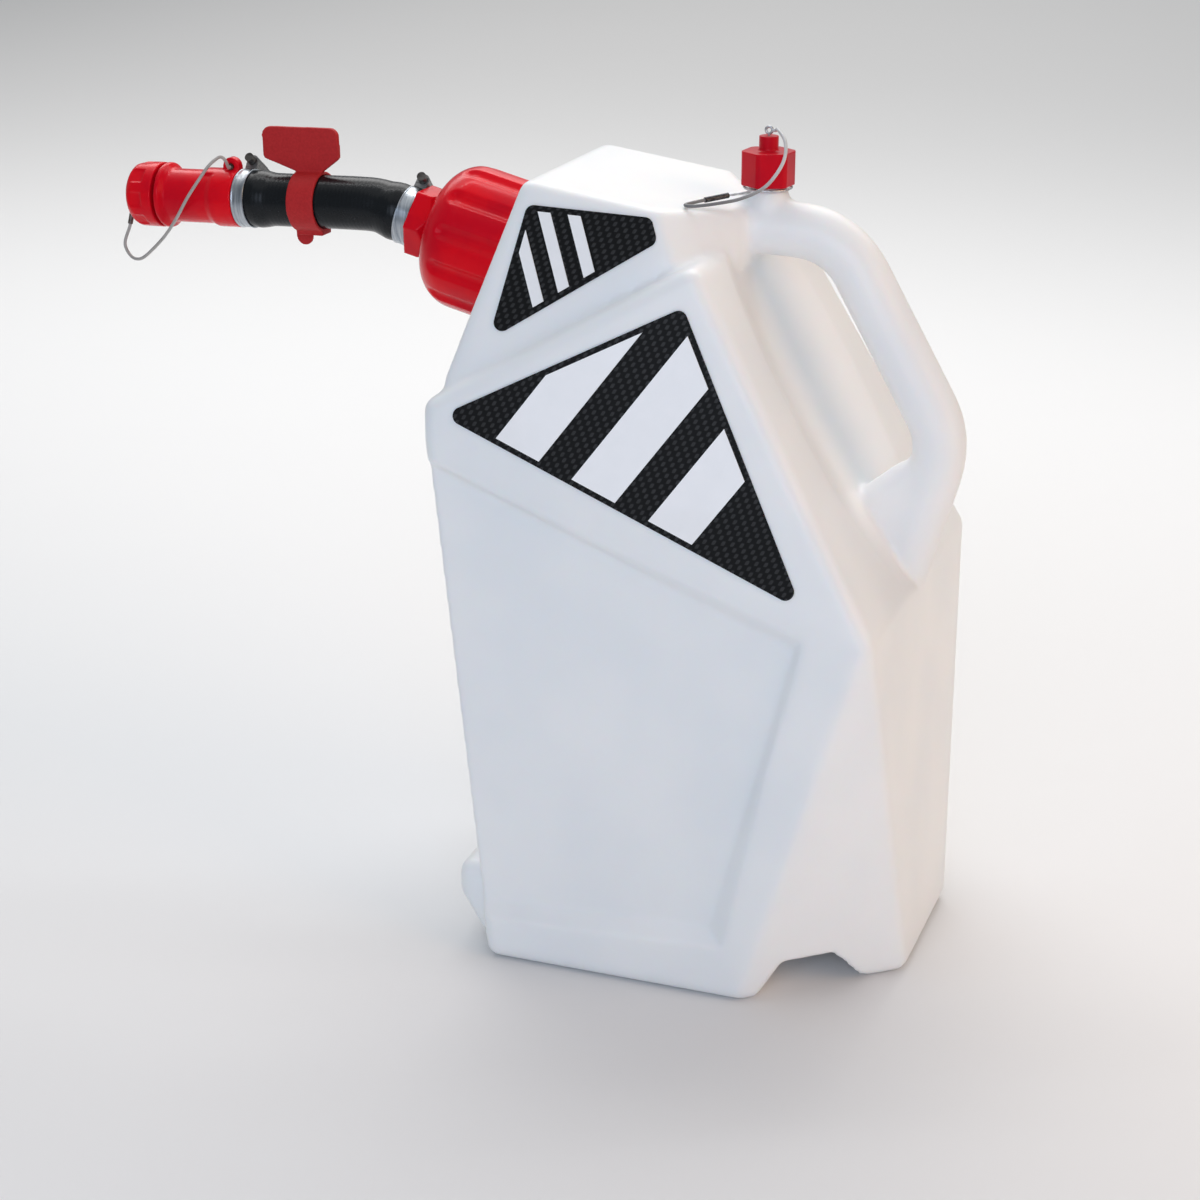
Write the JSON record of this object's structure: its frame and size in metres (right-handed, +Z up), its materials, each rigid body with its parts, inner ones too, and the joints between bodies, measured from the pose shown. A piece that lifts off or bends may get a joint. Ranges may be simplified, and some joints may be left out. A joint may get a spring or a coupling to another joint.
{
  "type": "utility jug",
  "caption": "Tall moulded liquid jug with sloping shoulders, a rear loop handle, a screw-on hose spout with a capped nozzle, and a capped vent on top.",
  "frame": {"origin": "on the floor under the middle of the front foot", "axes": "+Z up, the spout points to -X, the handle is on the +X side, the side seen in the picture faces -Y"},
  "size_m": [0.4878, 0.222, 0.4422],
  "materials": {
    "tank_plastic": "satin, faintly translucent natural polyethylene",
    "panel_film": "satin black with a woven pattern",
    "bar_film": "satin white",
    "red_plastic": "glossy",
    "tag_rubber": "matte",
    "hose_rubber": "glossy",
    "seal_rubber": "matte",
    "washer_plastic": "matte",
    "band_steel": "bright",
    "housing_steel": "satin",
    "screw_steel": "satin",
    "strand_steel": "satin",
    "wire_coat": "smooth coating",
    "ferrule_metal": "dark, satin"
  },
  "bodies": {
    "jug": {"jug_body": "tank_plastic", "large_panel_left": "panel_film", "large_panel_right": "panel_film", "small_panel_left": "panel_film", "small_panel_right": "panel_film", "large_bars_left": "bar_film", "large_bars_right": "bar_film", "small_bars_left": "bar_film", "small_bars_right": "bar_film", "vent_ferrule": "ferrule_metal", "vent_ring": "strand_steel"},
    "spout": {"neck_gasket": "seal_rubber", "slip_washer": "washer_plastic", "hose_adapter": "red_plastic", "hose": "hose_rubber", "inner_clamp_band": "band_steel", "inner_clamp_housing": "housing_steel"},
    "screw_collar": {"collar": "red_plastic"},
    "inner_screw": {"inner_clamp_screw": "screw_steel"},
    "nozzle_end": {"nozzle": "red_plastic", "outer_clamp_band": "band_steel", "outer_clamp_housing": "housing_steel", "lug_ferrule": "ferrule_metal", "nozzle_lanyard": "wire_coat"},
    "outer_screw": {"outer_clamp_screw": "screw_steel"},
    "tag": {"hose_tag": "tag_rubber"},
    "cap_swivel": {"end_cap_rivet": "strand_steel", "end_cap_eye": "strand_steel", "end_cap_ferrule": "ferrule_metal"},
    "nozzle_cap": {"end_cap": "red_plastic", "end_cap_seal": "seal_rubber"},
    "vent_link": {"vent_swivel": "strand_steel", "vent_lanyard": "wire_coat"},
    "vent_screw_cap": {"vent_cap": "red_plastic", "vent_seal": "seal_rubber"}
  },
  "joints": [
    {"name": "spout_draw", "type": "slide", "parent": "jug", "child": "spout", "axis": [-0.9681, 0, 0.2504], "range_m": [0, 0.0136]},
    {"name": "collar_turn", "type": "hinge", "parent": "spout", "child": "screw_collar", "pos_m": [-0.15356, 0, 0.3804], "axis": [-0.9681, 0, 0.2504], "range_deg": [0, 810]},
    {"name": "inner_screw_turn", "type": "hinge", "parent": "spout", "child": "inner_screw", "pos_m": [-0.15362, 0.01149, 0.39675], "axis": [-0.1472, 0.809, -0.5691], "continuous": true},
    {"name": "hose_flex", "type": "hinge", "parent": "spout", "child": "nozzle_end", "pos_m": [-0.195, 0, 0.38626], "axis": [0, 1, 0], "range_deg": [-20, 20], "stiffness_Nm_per_rad": 1.6, "springref_deg": 2.86, "deforming": ["hose"]},
    {"name": "outer_screw_turn", "type": "hinge", "parent": "nozzle_end", "child": "outer_screw", "pos_m": [-0.25589, 0.01149, 0.40049], "axis": [0.0154, 0.809, -0.5876], "continuous": true},
    {"name": "tag_turn", "type": "hinge", "parent": "nozzle_end", "child": "tag", "pos_m": [-0.21714, 0, 0.38569], "axis": [-0.9997, 0, -0.0262], "range_deg": [-90, 90]},
    {"name": "end_cap_draw", "type": "slide", "parent": "nozzle_end", "child": "cap_swivel", "axis": [-0.9997, 0, -0.0262], "range_m": [0, 0.0068], "deforming": ["nozzle_lanyard"]},
    {"name": "end_cap_turn", "type": "hinge", "parent": "cap_swivel", "child": "nozzle_cap", "pos_m": [-0.25963, 0, 0.38457], "axis": [-0.9997, 0, -0.0262], "range_deg": [0, 810]},
    {"name": "vent_cap_draw", "type": "slide", "parent": "jug", "child": "vent_link", "axis": [0, 0, 1], "range_m": [0, 0.0068], "deforming": ["vent_lanyard"]},
    {"name": "vent_cap_turn", "type": "hinge", "parent": "vent_link", "child": "vent_screw_cap", "pos_m": [0.043, 0, 0.412], "axis": [0, 0, 1], "range_deg": [0, 810]}
  ],
  "couplings": [
    {"joint": "spout_draw", "follows": "collar_turn", "m_per_rad": 0.00095493},
    {"joint": "end_cap_draw", "follows": "end_cap_turn", "m_per_rad": 0.00047746},
    {"joint": "vent_cap_draw", "follows": "vent_cap_turn", "m_per_rad": 0.00047746}
  ]
}
